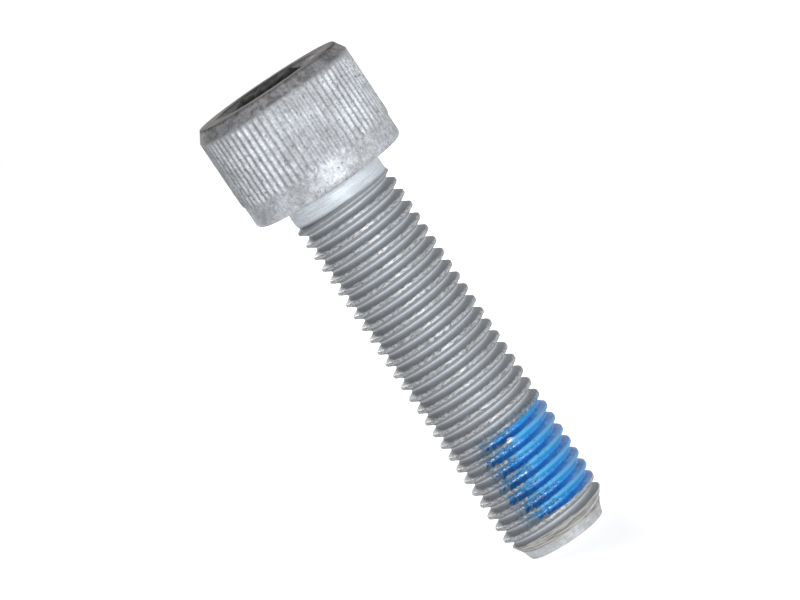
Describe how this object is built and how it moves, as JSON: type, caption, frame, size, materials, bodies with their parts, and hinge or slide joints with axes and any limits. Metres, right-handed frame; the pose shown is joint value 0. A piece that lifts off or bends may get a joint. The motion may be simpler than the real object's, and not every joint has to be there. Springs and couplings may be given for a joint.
{
  "type": "hex socket cap screw",
  "caption": "Cylindrical-head cap screw with a knurled head, a hexagon socket, a full-length metric thread, a flat point and a blue locking patch near the point.",
  "frame": {"origin": "centre of the bearing face under the head, on the screw's axis", "axes": "+Z along the screw's axis towards the head, with two corners of the hexagon socket on the X axis; the screw stands on its flat point at Z = -60 mm"},
  "size_m": [0.0244, 0.0244, 0.076],
  "materials": {
    "zinc_flake_steel": "alloy steel under a satin silver-grey zinc flake coating, mottled, with fine dark specks",
    "blue_patch": "sprayed and fused blue polyamide, satin, thick in the thread's roots and thin on its crests"
  },
  "bodies": {
    "root": {"screw": "zinc_flake_steel", "locking_patch": "blue_patch"}
  },
  "joints": []
}
